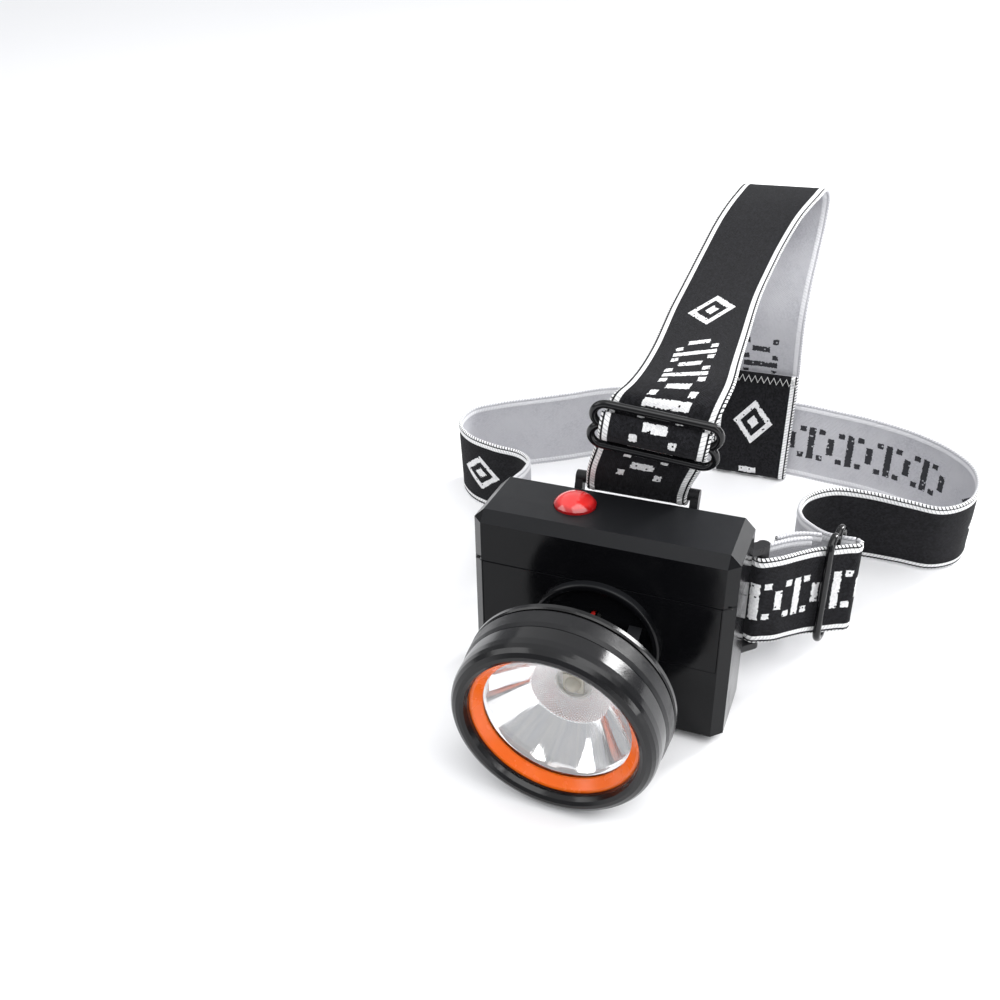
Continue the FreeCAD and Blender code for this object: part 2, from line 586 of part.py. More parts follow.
def head_rear_shell():
    """Rear cup with its flange, the knuckle of the tilt hinge and a hole for the leads."""
    shell = turned([(19.4, -8.9), (19.4, -10.9), (23.4, -10.9), (FLANGE_R - 0.3, -10.9), (FLANGE_R, -11.3),
                    (FLANGE_R, -12.3), (FLANGE_R - 0.7, -12.9), (17.5, -12.9), (15.6, -14.2), (14.0, -19.0),
                    (12.5, -20.6), (0, -20.6), (0, -19.4), (11.6, -19.4), (12.4, -18.4), (14.0, -13.4),
                    (16.5, -11.6), (17.8, -10.9), (17.8, -8.9)])
    web = block(-KNUCKLE_HALF_W, KNUCKLE_HALF_W, along(-20.5), 0, -KNUCKLE_R, KNUCKLE_R)
    knuckle = rod((-KNUCKLE_HALF_W, 0, 0), (1, 0, 0), KNUCKLE_R, 2 * KNUCKLE_HALF_W)
    shell = fuse([shell, web, knuckle])
    shell = shell.cut(rod((-10, 0, 0), (1, 0, 0), 1.55, 20))
    shell = shell.cut(rod((0, -12, HEAD_LEAD_Z), (0, 1, 0), 1.6, 16))
    for x, z in HEAD_SCREWS:
        shell = shell.cut(rod((x, along(-10), z), (0, 1, 0), 1.0, 5))
    return shell


def head_screws():
    """Three screws from the rear flange into the head body."""
    made = []
    for x, z in HEAD_SCREWS:
        made.append(screw((x, along(-7.0), z), (0, 1, 0), 0.85, 5.9, 1.5, 1.0))
    return group(made)


def led_spacer():
    """White insulating ring between the reflector and the LED board."""
    return turned([(3.9, REFLECTOR_BACK), (5.9, REFLECTOR_BACK), (5.9, LED_STATION), (3.9, LED_STATION)])


def led_emitter():
    """High-power LED: square base and clear dome."""
    base = block(-2.5, 2.5, along(LED_STATION + 0.9), along(LED_STATION), -2.5, 2.5)
    dome = Part.makeSphere(2.0, V(0, along(LED_STATION + 0.9), 0))
    dome = dome.common(block(-3, 3, along(LED_STATION + 4), along(LED_STATION + 0.8), -3, 3))
    return base.fuse(dome).removeSplitter()


def led_board():
    """Round metal-core board under the LED."""
    board = rod((0, along(LED_STATION), 0), (0, 1, 0), 10.0, 1.4)
    for x in (-7.8, 7.8):
        board = board.cut(rod((x, along(-15), 0), (0, 1, 0), 0.9, 6))
    return board


def led_board_screws():
    """Two screws that clamp the LED board to the heat sink."""
    made = []
    for x in (-7.8, 7.8):
        made.append(screw((x, along(-19.3), 0), (0, -1, 0), 0.8, 2.9, 1.4, 0.7))
    return group(made)


def heat_sink():
    """Aluminium disc between the LED board and the rear shell."""
    disc = rod((0, along(LED_STATION - 1.4), 0), (0, 1, 0), 11.4, 1.6)
    for x in (-7.8, 7.8):
        disc = disc.cut(rod((x, along(-16), 0), (0, 1, 0), 0.8, 6))
    return disc.cut(rod((0, along(-16), HEAD_LEAD_Z), (0, 1, 0), 1.6, 6))


def head_lead(x):
    """One lamp lead from the LED board out through the rear shell."""
    return rod((x, along(LED_STATION - 1.4), HEAD_LEAD_Z), (0, 1, 0), 0.55, 5.0)


# ---- webbing ------------------------------------------------------------------------------------
def smooth(points, steps=5):
    """Centripetal Catmull-Rom points through a hand-placed route of equal-length tuples."""
    ends = [tuple(2 * a - b for a, b in zip(points[0], points[1]))] + points
    ends.append(tuple(2 * a - b for a, b in zip(points[-1], points[-2])))
    out = []
    for quad in zip(ends, ends[1:], ends[2:], ends[3:]):
        knots = [0.0]
        for a, b in zip(quad, quad[1:]):
            knots.append(knots[-1] + max(math.dist(a[:3], b[:3]), 1e-6) ** 0.5)
        for i in range(steps):
            t = knots[1] + (knots[2] - knots[1]) * i / steps
            level = list(quad)
            for span in (1, 2, 3):
                level = [between(level[k], level[k + 1], t, knots, k, span) for k in range(4 - span)]
            out.append(level[0])
    out.append(points[-1])
    return out


def between(a, b, t, knots, k, span):
    """One step of the Catmull-Rom pyramid."""
    if span == 3:
        t0, t1 = knots[1], knots[2]
    else:
        t0, t1 = knots[k], knots[k + span]
    w = (t - t0) / (t1 - t0)
    return tuple((1 - w) * p + w * q for p, q in zip(a, b))


def ribbon(centres, across, width=WEB_W, thickness=WEB_T):
    """A webbing solid along centre points; across gives the width direction at each point."""
    sections = []
    last = len(centres) - 1
    for i, (centre, side) in enumerate(zip(centres, across)):
        run = V(*centres[min(i + 1, last)]) - V(*centres[max(i - 1, 0)])
        side = V(*side)
        run = run - side * (run.dot(side) / side.dot(side))
        half = V(side).normalize() * (width / 2)
        thick = run.cross(side).normalize() * (thickness / 2)
        c = V(*centre)
        corners = [c + half + thick, c + half - thick, c - half - thick, c - half + thick]
        sections.append(Part.makePolygon(corners + corners[:1]))
    return Part.makeLoft(sections, True, True)


def standing(route, steps=5):
    """A ribbon on edge, from (x, y, z, lean) points; lean is the top edge's tilt towards +Y."""
    line = [(x, y, max(z, WEB_W / 2), lean) for x, y, z, lean in smooth(route, steps)]
    return ribbon([p[:3] for p in line], [(0, p[3], 1) for p in line])


def headband():
    """The band round the head, from its sewn end on the left bar to its fold in the side buckle."""
    return standing(BAND_ROUTE)


def headband_tail():
    """The same band's tail: out of the side buckle, round the right bar and back to the buckle."""
    return standing(TAIL_ROUTE)


def headband_doubling():
    """Short third layer sewn behind the tail."""
    return standing(DOUBLING_ROUTE)


def top_strap():
    """The strap over the head: front loop, crown, fall to the band, and the turn-up under it."""
    line = smooth(TOP_ROUTE)
    across = []
    for x, y, z, yaw, roll in line:
        turn = math.radians(yaw)
        across.append((math.cos(turn), math.sin(turn), math.tan(math.radians(roll))))
    return ribbon([p[:3] for p in line], across)


def glide_frame():
    """Wire slide buckle in its own frame: two ovals side by side, bars along X, lying in the XZ plane."""
    half_w = GLIDE_W / 2 - WIRE_R
    pitch = GLIDE_H / 2 - WIRE_R
    made = []
    for z in (-pitch, 0, pitch):
        made.append(rod((-half_w + pitch / 2, 0, z), (1, 0, 0), WIRE_R, 2 * half_w - pitch))
    for side in (-1, 1):
        for z in (-pitch / 2, pitch / 2):
            x = side * (half_w - pitch / 2)
            end = Part.makeTorus(pitch / 2, WIRE_R, V(x, 0, z), Y_AXIS)
            reach = block(*sorted((x, x + side * 10)), -3, 3, z - 6, z + 6)
            made.append(end.common(reach))
    return fuse(made)


def placed(shape, centre, along_bars, along_height):
    """Move a buckle-frame shape so that its X and Z follow two directions at a centre."""
    x = V(*along_bars).normalize()
    z = V(*along_height)
    z = (z - x * z.dot(x)).normalize()
    y = z.cross(x)
    m = FreeCAD.Matrix(x.x, y.x, z.x, centre[0], x.y, y.y, z.y, centre[1],
                       x.z, y.z, z.z, centre[2], 0, 0, 0, 1)
    return shape.transformed(m)


def glide_webbing():
    """Webbing that humps over the top buckle's middle bar, in the buckle's frame."""
    profile = [(0, -0.1, -3.9), (0, -1.0, -3.0), (0, -1.8, -1.6), (0, -2.0, 0), (0, -1.8, 1.6),
               (0, -1.0, 3.0), (0, -0.1, 3.9)]
    line = smooth(profile, 3)
    return ribbon(line, [(1, 0, 0)] * len(line), WEB_W, 1.1)


def stitches(centres, run, rise, length=2.4):
    """Short thread bars: one per centre, leaning along run and rise."""
    made = []
    for i, centre in enumerate(centres):
        slope = V(*run) + V(*rise) * (1 if i % 2 else -1)
        slope = slope.normalize()
        made.append(rod(tuple(V(*centre) - slope * (length / 2)), tuple(slope), 0.3, length))
    return group(made)


# ---- assembly -----------------------------------------------------------------------------------
def zigzag_centres():
    """Thread places across the turned-up end of the top strap, near its upper edge."""
    made = []
    for i in range(12):
        made.append((5.0 + 1.93 * i, 106.6, 34.6))
    return made


def unit(vector):
    """A direction of length one."""
    return V(*vector).normalize()


def build():
    """Every node in the part frame before the final shift."""
    nodes = {}
    for name, make in {
            "upper_case": upper_case, "lower_case": lower_case, "case_seal": case_seal,
            "lamp_mount_plate": lamp_mount_plate, "strap_bracket": strap_bracket,
            "bracket_screws": bracket_screws, "cell_tab_joined": cell_tab_joined,
            "cell_tabs_output": cell_tabs_output, "driver_board": driver_board,
            "board_parts": board_parts, "board_screws": board_screws, "switch_body": switch_body,
            "switch_plunger": switch_plunger, "button_cap": button_cap, "charge_jack": charge_jack,
            "charge_pin": charge_pin, "tilt_screw": tilt_screw, "tilt_nut": tilt_nut,
            "friction_washers": friction_washers}.items():
        nodes[name] = on_box(make())
    nodes["battery_cell_lower"] = on_box(battery_cell(CELL_ZS[0]))
    nodes["battery_cell_upper"] = on_box(battery_cell(CELL_ZS[1]))
    nodes["battery_lead_red"] = on_box(battery_lead(CELL_ZS[1], -5.6))
    nodes["battery_lead_black"] = on_box(battery_lead(CELL_ZS[0], -14.0))
    nodes["lamp_lead_red"] = on_box(lamp_lead(-0.8))
    nodes["lamp_lead_black"] = on_box(lamp_lead(0.8))
    for name, make in {
            "bezel_ring": bezel_ring, "accent_ring": accent_ring, "lens_seal": lens_seal, "lens": lens,
            "reflector": reflector, "head_body": head_body, "head_rear_shell": head_rear_shell,
            "head_screws": head_screws, "led_spacer": led_spacer, "led_emitter": led_emitter,
            "led_board": led_board, "led_board_screws": led_board_screws, "heat_sink": heat_sink}.items():
        nodes[name] = on_head(make())
    nodes["head_lead_red"] = on_head(head_lead(-0.8))
    nodes["head_lead_black"] = on_head(head_lead(0.8))
    nodes["headband"] = headband()
    nodes["headband_tail"] = headband_tail()
    nodes["headband_doubling"] = headband_doubling()
    nodes["top_strap"] = top_strap()
    nodes["patch_stitches"] = stitches(zigzag_centres(), (1, 0, 0), (0, 0.2, 1.2))
    nodes["top_glide"] = placed(glide_frame(), TOP_GLIDE, TOP_GLIDE_BARS, TOP_SLIDE_AXIS)
    nodes["top_glide_webbing"] = placed(glide_webbing(), TOP_GLIDE, TOP_GLIDE_BARS, TOP_SLIDE_AXIS)
    nodes["side_glide"] = placed(glide_frame(), SIDE_GLIDE, SIDE_GLIDE_BARS, SIDE_GLIDE_ACROSS)
    return nodes


def joint_frames(shift):
    """Places and directions of the joints and mounts in the part frame, in millimetres."""
    down = leaned(0, 0, -1)
    return {
        "shift": shift,
        "lean_deg": LEAN,
        "tilt_pin": leaned(0, PIVOT_Y, PIVOT_Z) + shift,
        "button_axis": down,
        "top_slide_axis": unit(TOP_SLIDE_AXIS),
        "jack_mouth": leaned(-BOX_W / 2, JACK_Y, JACK_Z) + shift,
    }


def main():
    """Build, centre the footprint on the origin, and write one STEP per node."""
    nodes = build()
    bounds = Part.makeCompound(list(nodes.values())).BoundBox
    shift = V(-bounds.Center.x, -bounds.Center.y, -bounds.ZMin)
    os.makedirs("parts", exist_ok=True)
    for name, shape in nodes.items():
        shape.translate(shift)
        sound = shape.isValid() and shape.Volume > 0
        verdict = "ok" if sound else "BAD"
        print(f"{name:22s} solids {len(shape.Solids)}  volume {shape.Volume:9.2f}  {verdict}")
        shape.exportStep(f"parts/{name}.step")
    for name, value in joint_frames(shift).items():
        print(name, value)
    return nodes, shift


if __name__ == "__main__":
    main()
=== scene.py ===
"""Looks of the miner's cap lamp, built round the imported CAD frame.

Lengths in the tables below are millimetres on the table, measured from the middle of the battery
box's lower rear edge; place() turns them into metres in the row frame.
"""

import math

import bpy
from mathutils import Matrix, Vector


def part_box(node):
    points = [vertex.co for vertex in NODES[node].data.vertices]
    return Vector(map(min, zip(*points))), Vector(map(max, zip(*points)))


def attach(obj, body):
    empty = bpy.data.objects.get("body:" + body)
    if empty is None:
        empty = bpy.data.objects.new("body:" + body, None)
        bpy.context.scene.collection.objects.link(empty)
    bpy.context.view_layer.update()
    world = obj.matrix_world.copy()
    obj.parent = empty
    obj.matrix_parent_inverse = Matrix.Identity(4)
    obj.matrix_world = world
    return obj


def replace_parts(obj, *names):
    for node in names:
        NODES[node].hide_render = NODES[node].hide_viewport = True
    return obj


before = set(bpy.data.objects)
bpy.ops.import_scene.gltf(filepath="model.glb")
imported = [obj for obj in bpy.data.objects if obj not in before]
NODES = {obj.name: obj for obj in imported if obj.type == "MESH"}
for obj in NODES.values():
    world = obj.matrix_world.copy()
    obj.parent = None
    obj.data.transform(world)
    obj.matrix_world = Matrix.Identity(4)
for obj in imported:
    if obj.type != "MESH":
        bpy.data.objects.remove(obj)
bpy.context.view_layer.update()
MM = 0.001

# ---- sizes shared with the CAD source -----------------------------------------------------------
LEAN = math.radians(5.607)
HEAD_TILT = math.radians(4.9)
SEAM_Z = 38.5
PIVOT = (0.0, -26.0, 22.5)
RING_TO_PIVOT = 25.7
WEB_W = 25.4
WEB_T = 1.3
BEND_R = 2.4
SIDE_BAR_AT = (34.0, 9.8)
TOP_BAR_AT = (9.0, 53.0)

_low, _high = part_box("lower_case")
ORIGIN = Vector(((_low.x + _high.x) / 2, _high.y - SEAM_Z * math.sin(LEAN) * MM, _low.z))


def place(x, y, z):
    """Table millimetres to the row frame."""
    return ORIGIN + Vector((x, y, z)) * MM


def on_box(x, y, z):
    """Box-frame millimetres to the row frame."""
    return place(x, y * math.cos(LEAN) + z * math.sin(LEAN), z * math.cos(LEAN) - y * math.sin(LEAN))


def wrap(centre, start, stop, steps, tail, axis="z"):
    """Route points round a bar; angles in degrees in the plane across the bar."""
    points = []
    for i in range(steps + 1):
        a = math.radians(start + (stop - start) * i / steps)
        u = centre[0] + BEND_R * math.cos(a)
        w = centre[1] + BEND_R * math.sin(a)
        points.append((u, w) + tail if axis == "z" else (tail[0], u, w) + tail[1:])
    return points


# ---- webbing routes, as in the CAD source -------------------------------------------------------
BAND_ROUTE = [
    (-36.3, 28.0, 22.0, 0.02), (-34.0, 19.0, 23.8, 0.06), (-32.0, 13.0, 25.0, 0.1)]
BAND_ROUTE += wrap((-SIDE_BAR_AT[0], SIDE_BAR_AT[1]), 10, -200, 5, (25.2, 0.1))
BAND_ROUTE += [
    (-37.4, 14.0, 24.8, 0.08), (-38.6, 20.0, 23.8, 0.04), (-39.4, 29.0, 22.0, 0.0),
    (-40.6, 40.0, 18.0, 0.0), (-43.0, 50.0, 15.0, 0.0), (-49.0, 56.2, 13.1, 0.0), (-58.0, 58.0, 12.7, 0.0),
    (-68.0, 61.5, 12.7, 0.0), (-74.3, 68.5, 12.7, 0.0), (-73.8, 76.5, 12.8, 0.06), (-67.0, 82.5, 12.8, 0.1),
    (-57.0, 88.5, 12.8, 0.14), (-47.0, 94.5, 12.8, 0.16), (-36.0, 101.5, 12.9, 0.18),
    (-24.0, 105.3, 13.3, 0.2),
    (-10.0, 106.3, 14.2, 0.2), (0.0, 106.0, 15.0, 0.2), (16.0, 106.0, 15.0, 0.2), (31.0, 106.0, 14.6, 0.2),
    (41.0, 106.4, 13.5, 0.2), (53.0, 105.5, 12.9, 0.16), (66.0, 101.5, 12.8, 0.1), (76.0, 95.5, 12.8, 0.04),
    (82.5, 88.0, 12.8, -0.02), (84.3, 79.5, 12.8, -0.08), (82.0, 71.0, 12.8, -0.14),
    (75.5, 65.8, 12.8, -0.18),
    (66.0, 66.2, 12.8, -0.16), (55.0, 66.6, 12.8, -0.1), (46.0, 64.5, 12.8, -0.02), (40.0, 59.0, 13.0, 0.0),
    (38.2, 51.5, 13.6, 0.04), (39.6, 43.5, 15.2, 0.08), (43.4, 35.8, 17.6, 0.14), (47.4, 30.2, 19.8, 0.18),
    (51.4, 28.2, 20.9, 0.2), (54.6, 27.9, 21.2, 0.2)]
TAIL_ROUTE = [
    (55.0, 27.8, 21.2, 0.2), (56.2, 26.9, 21.2, 0.2), (55.7, 25.5, 21.2, 0.2), (53.4, 24.3, 21.3, 0.2),
    (49.7, 22.1, 21.5, 0.2), (46.0, 19.2, 22.3, 0.19), (42.2, 14.9, 23.4, 0.17), (38.6, 10.4, 24.6, 0.14)]
TAIL_ROUTE += wrap(SIDE_BAR_AT, -45, -225, 4, (25.2, 0.1))
TAIL_ROUTE += [(35.6, 15.2, 24.9, 0.12), (39.6, 19.4, 23.9, 0.16), (44.0, 22.8, 22.8, 0.2)]
DOUBLING_ROUTE = [
    (36.0, 18.2, 24.8, 0.12), (39.2, 21.7, 24.0, 0.16), (42.8, 24.4, 23.0, 0.18), (46.2, 25.8, 22.2, 0.2)]
TOP_ROUTE = [
    (7.4, 7.0, 71.0, 5, -8), (6.2, 8.8, 65.0, 4, -6), (4.6, 10.6, 59.0, 2, -3)]
TOP_ROUTE += wrap(TOP_BAR_AT, 15, -195, 5, (2.6, 0, 0), "x")
TOP_ROUTE += [
    (3.8, 4.9, 59.0, 2, -3), (5.9, 3.9, 65.0, 4, -6), (7.4, 3.1, 70.0, 5, -8), (8.6, 2.7, 75.0, 6, -8),
    (9.9, 4.4, 79.4, 12, -7), (11.2, 11.0, 81.0, 20, -3), (11.0, 21.0, 80.6, 27, -1),
    (10.4, 36.0, 80.4, 31, 0),
    (9.6, 56.0, 82.0, 32, 0), (10.0, 70.0, 84.0, 31, 0), (10.8, 84.0, 86.6, 28, 0),
    (12.4, 100.0, 90.0, 20, 0),
    (14.6, 114.0, 92.0, 8, 0), (15.8, 124.5, 91.6, 1, 0), (16.2, 130.6, 86.8, 0, 0),
    (16.2, 128.6, 80.0, 0, 0),
    (16.1, 120.0, 73.0, 0, 0), (15.9, 111.5, 66.0, 0, 0), (15.7, 106.8, 57.5, 0, 0),
    (15.6, 107.4, 47.5, 0, 0),
    (15.6, 109.6, 37.0, 0, 0), (15.6, 110.1, 27.0, 0, 0), (15.6, 107.9, 14.6, 0, 0), (15.6, 105.6, 3.2, 0, 0),
    (15.6, 104.9, 1.2, 0, 0), (15.6, 103.6, 0.7, 0, 0), (15.6, 102.3, 1.4, 0, 0), (15.6, 102.0, 3.4, 0, 0),
    (15.6, 104.1, 14.6, 0, 0), (15.6, 106.5, 26.6, 0, 0), (15.6, 107.9, 36.5, 0, 0)]
TOP_GLIDE = (8.3, 0.6, 73.2)
TOP_GLIDE_BARS = (1.0, 0.1, -0.14)
TOP_SLIDE_AXIS = (1.0, -0.6, 5.0)

# ---- camera: the photograph's viewing angle -----------------------------------------------------
CAMERA_AT = (0.05242, -0.23546, 0.19498)
CAMERA_AZIMUTH = 24.239
CAMERA_ELEVATION = 34.460
CAMERA_ROLL = -3.852
CAMERA_LENS = 36.798


def make_camera():
    """A pinhole camera at the solved place and angle."""
    az, el, roll = (math.radians(v) for v in (CAMERA_AZIMUTH, CAMERA_ELEVATION, CAMERA_ROLL))
    back = Vector((math.sin(az) * math.cos(el), -math.cos(az) * math.cos(el), math.sin(el)))
    right = (-back).cross(Vector((0, 0, 1))).normalized()
    up = right.cross(-back)
    x = right * math.cos(roll) + up * math.sin(roll)
    y = up * math.cos(roll) - right * math.sin(roll)
    data = bpy.data.cameras.new("camera")
    data.lens = CAMERA_LENS
    data.sensor_width = 36.0
    data.clip_start = 0.01
    data.clip_end = 20.0
    cam = bpy.data.objects.new("camera", data)
    cam.matrix_world = Matrix((
        (x.x, y.x, back.x, CAMERA_AT[0]), (x.y, y.y, back.y, CAMERA_AT[1]),
        (x.z, y.z, back.z, CAMERA_AT[2]), (0, 0, 0, 1)))
    bpy.context.scene.collection.objects.link(cam)
    bpy.context.scene.camera = cam


# ---- node helpers -------------------------------------------------------------------------------
class Net:
    """A small wrapper that builds a material's node tree."""

    def __init__(self, name):
        self.mat = bpy.data.materials.new(name)
        self.mat.use_nodes = True
        self.tree = self.mat.node_tree
        self.tree.nodes.clear()
        self.out = self.tree.nodes.new("ShaderNodeOutputMaterial")
        self.bsdf = self.tree.nodes.new("ShaderNodeBsdfPrincipled")
        self.tree.links.new(self.bsdf.outputs["BSDF"], self.out.inputs["Surface"])

    def node(self, kind, **settings):
        made = self.tree.nodes.new(kind)
        for key, value in settings.items():
            setattr(made, key, value)
        return made

    def feed(self, socket, value):
        """Link a socket or set a constant."""
        if isinstance(value, bpy.types.NodeSocket):
            self.tree.links.new(value, socket)
        else:
            socket.default_value = value

    def math(self, op, a, b=0.0, c=0.0, clamp=False):
        made = self.node("ShaderNodeMath", operation=op, use_clamp=clamp)
        self.feed(made.inputs[0], a)
        self.feed(made.inputs[1], b)
        self.feed(made.inputs[2], c)
        return made.outputs[0]

    def ramp(self, value, low, high, to_low=0.0, to_high=1.0, smooth=True):
        """Map a range to another with clamping."""
        made = self.node("ShaderNodeMapRange", interpolation_type="SMOOTHSTEP" if smooth else "LINEAR")
        for name, v in zip(("Value", "From Min", "From Max", "To Min", "To Max"),
                           (value, low, high, to_low, to_high)):
            self.feed(made.inputs[name], v)
        return made.outputs[0]

    def mix(self, factor, a, b):
        """Blend two colours."""
        made = self.node("ShaderNodeMix", data_type="RGBA")
        self.feed(made.inputs[0], factor)
        self.feed(made.inputs[6], a)
        self.feed(made.inputs[7], b)
        return made.outputs[2]

    def coords(self, move=None, turn=None):
        """Object coordinates, optionally in a frame given by an origin and a rotation about X."""
        tex = self.node("ShaderNodeTexCoord").outputs["Object"]
        if move is None:
            return tex
        shifted = self.node("ShaderNodeVectorMath", operation="SUBTRACT")
        self.feed(shifted.inputs[0], tex)
        shifted.inputs[1].default_value = move
        turned = self.node("ShaderNodeVectorRotate", rotation_type="X_AXIS")
        self.feed(turned.inputs["Vector"], shifted.outputs[0])
        turned.inputs["Angle"].default_value = turn
        return turned.outputs[0]

    def split(self, vector):
        made = self.node("ShaderNodeSeparateXYZ")
        self.feed(made.inputs[0], vector)
        return made.outputs

    def noise(self, vector, scale, detail=3.0, rough=0.55, distortion=0.0):
        made = self.node("ShaderNodeTexNoise")
        self.feed(made.inputs["Vector"], vector)
        made.inputs["Scale"].default_value = scale
        made.inputs["Detail"].default_value = detail
        made.inputs["Roughness"].default_value = rough
        made.inputs["Distortion"].default_value = distortion
        return made.outputs["Fac"]

    def bump(self, height, distance, strength=1.0, normal=None):
        made = self.node("ShaderNodeBump")
        made.inputs["Strength"].default_value = strength
        made.inputs["Distance"].default_value = distance
        self.feed(made.inputs["Height"], height)
        if normal is not None:
            self.feed(made.inputs["Normal"], normal)
        return made.outputs["Normal"]

    def set(self, **values):
        """Set Principled sockets by name, with underscores for spaces."""
        for key, value in values.items():
            self.feed(self.bsdf.inputs[key.replace("_", " ")], value)
        return self


def rgb(r, g, b):
    return (r, g, b, 1.0)


# ---- materials ----------------------------------------------------------------------------------
def moulded(name, dark, light, rough, spread=0.06, spec=0.4, grain=0.00002, grain_scale=1400.0, coat=0.0):
    """Injection-moulded plastic: faint colour drift, smudged gloss and a fine orange peel."""
    net = Net(name)
    at = net.coords()
    drift = net.noise(at, 60.0, 4.0)
    smudge = net.noise(at, 190.0, 5.0, 0.65, 0.4)
    peel = net.noise(at, grain_scale, 2.0, 0.5)
    net.set(Base_Color=net.mix(net.ramp(drift, 0.35, 0.65), rgb(*dark), rgb(*light)),
            Roughness=net.ramp(smudge, 0.3, 0.7, rough - spread / 2, rough + spread),
            Normal=net.bump(peel, grain, 0.6))
    net.bsdf.inputs["Specular IOR Level"].default_value = spec
    net.bsdf.inputs["Coat Weight"].default_value = coat
    return net.mat


def case_plastic(name):
    """Gloss black walls with a satin, finely spark-eroded top face, whose colour is lifted a little as
    painted light from above.
    """
    net = Net(name)
    at = net.coords()
    facing = net.node("ShaderNodeTexCoord").outputs["Normal"]
    dot = net.node("ShaderNodeVectorMath", operation="DOT_PRODUCT")
    net.feed(dot.inputs[0], facing)
    dot.inputs[1].default_value = (0.0, math.sin(LEAN), math.cos(LEAN))
    top = net.ramp(dot.outputs["Value"], 0.55, 0.8)
    smudge = net.noise(at, 120.0, 5.0, 0.6, 0.5)
    grain = net.noise(at, 5200.0, 2.0, 0.5)
    peel = net.noise(at, 260.0, 1.0, 0.4)
    drift = net.noise(at, 45.0, 3.0)
    walls = net.mix(drift, rgb(0.0025, 0.0025, 0.003), rgb(0.004, 0.0042, 0.005))
    # up-facing faces get a lighter black: the satin finish is real, the lift in colour is painted light from
    # above
    top_colour_with_painted_light = net.mix(drift, rgb(0.009, 0.0095, 0.011), rgb(0.012, 0.0125, 0.014))
    gloss = net.ramp(smudge, 0.3, 0.7, 0.1, 0.2)
    satin = net.ramp(smudge, 0.3, 0.7, 0.36, 0.44)
    rough = net.math("ADD", net.math("MULTIPLY", satin, top),
                     net.math("MULTIPLY", gloss, net.math("SUBTRACT", 1.0, top)))
    fine = net.math("MULTIPLY", grain, net.math("MULTIPLY", top, 0.5))
    height = net.math("ADD", fine, net.math("MULTIPLY", peel, 0.25))
    net.set(Base_Color=net.mix(top, walls, top_colour_with_painted_light), Roughness=rough, Normal=net.bump(height, 0.00003, 0.5))
    net.bsdf.inputs["Specular IOR Level"].default_value = 0.17
    return net.mat


def speckled(name):
    """Satin black band with a fine bright speckle."""
    net = Net(name)
    at = net.coords()
    fleck = net.noise(at, 5200.0, 3.0, 0.7)
    soft = net.noise(at, 400.0, 3.0)
    spots = net.ramp(fleck, 0.6, 0.78)
    net.set(Base_Color=net.mix(spots, rgb(0.006, 0.006, 0.007), rgb(0.03, 0.03, 0.033)),
            Roughness=net.ramp(soft, 0.3, 0.7, 0.3, 0.42), Normal=net.bump(fleck, 0.00004, 0.6))
    net.bsdf.inputs["Specular IOR Level"].default_value = 0.3
    return net.mat


def metal(name, colour, rough, brushed=0.0, scale=1800.0):
    """Metal with fine directional or random polish marks."""
    net = Net(name)
    at = net.coords()
    lines = net.node("ShaderNodeMapping")
    net.feed(lines.inputs["Vector"], at)
    lines.inputs["Scale"].default_value = (1.0, 8.0 if brushed else 1.0, 1.0)
    mark = net.noise(lines.outputs[0], scale, 4.0, 0.6)
    stain = net.noise(at, 150.0, 3.0)
    darker = tuple(c * 0.82 for c in colour)
    net.set(Base_Color=net.mix(net.ramp(stain, 0.35, 0.7), rgb(*colour), rgb(*darker)),
            Roughness=net.ramp(mark, 0.3, 0.7, rough * 0.7, rough * 1.4), Normal=net.bump(mark, 0.00001, 0.5))
    net.bsdf.inputs["Metallic"].default_value = 1.0
    return net.mat


def head_frame(net):
    """Coordinates with the lamp axis along -Y and the origin on the tilt pin."""
    return net.coords(tuple(on_box(*PIVOT)), LEAN - HEAD_TILT)


def reflector_metal(name):
    """Vacuum-metallised bowl: long radial streaks, and tiny crossed facets round the LED."""
    net = Net(name)
    x, y, z = net.split(head_frame(net))
    angle = net.math("ARCTAN2", z, x)
    radius = net.math("SQRT", net.math("ADD", net.math("MULTIPLY", x, x), net.math("MULTIPLY", z, z)))
    polar = net.node("ShaderNodeCombineXYZ")
    net.feed(polar.inputs[0], net.math("MULTIPLY", angle, 5.0))
    net.feed(polar.inputs[1], net.math("MULTIPLY", radius, 60.0))
    streak = net.noise(polar.outputs[0], 2.2, 4.0, 0.6, 0.3)
    turns = 64 / (2 * math.pi)
    a = net.math("ADD", net.math("MULTIPLY", angle, turns), net.math("MULTIPLY", radius, 1500.0))
    b = net.math("SUBTRACT", net.math("MULTIPLY", angle, turns), net.math("MULTIPLY", radius, 1500.0))
    facet = net.math("MULTIPLY", net.math("PINGPONG", a, 0.5), net.math("PINGPONG", b, 0.5))
    near = net.ramp(radius, 0.0098, 0.0088)
    crossed = net.math("MULTIPLY", net.math("MULTIPLY", facet, near), 9.0)
    height = net.math("ADD", net.math("MULTIPLY", streak, 0.25), crossed)
    tint = net.mix(net.ramp(streak, 0.3, 0.7), rgb(0.86, 0.86, 0.88), rgb(0.93, 0.92, 0.91))
    net.set(Base_Color=tint, Roughness=net.ramp(streak, 0.3, 0.7, 0.03, 0.08),
            Normal=net.bump(height, 0.00018, 0.8))
    net.bsdf.inputs["Metallic"].default_value = 1.0
    return net.mat


def clear_plastic(name, tint, rough, ior=1.49):
    """Transparent moulding with faint surface ripple."""
    net = Net(name)
    at = net.coords()
    ripple = net.noise(at, 120.0, 2.0)
    net.set(Base_Color=net.mix(ripple, rgb(*tint), rgb(*[min(1.0, c * 1.02) for c in tint])),
            Roughness=net.ramp(ripple, 0.3, 0.7, rough, rough + 0.01), Normal=net.bump(ripple, 0.00002, 0.2))
    net.bsdf.inputs["Transmission Weight"].default_value = 1.0
    net.bsdf.inputs["IOR"].default_value = ior
    return net.mat


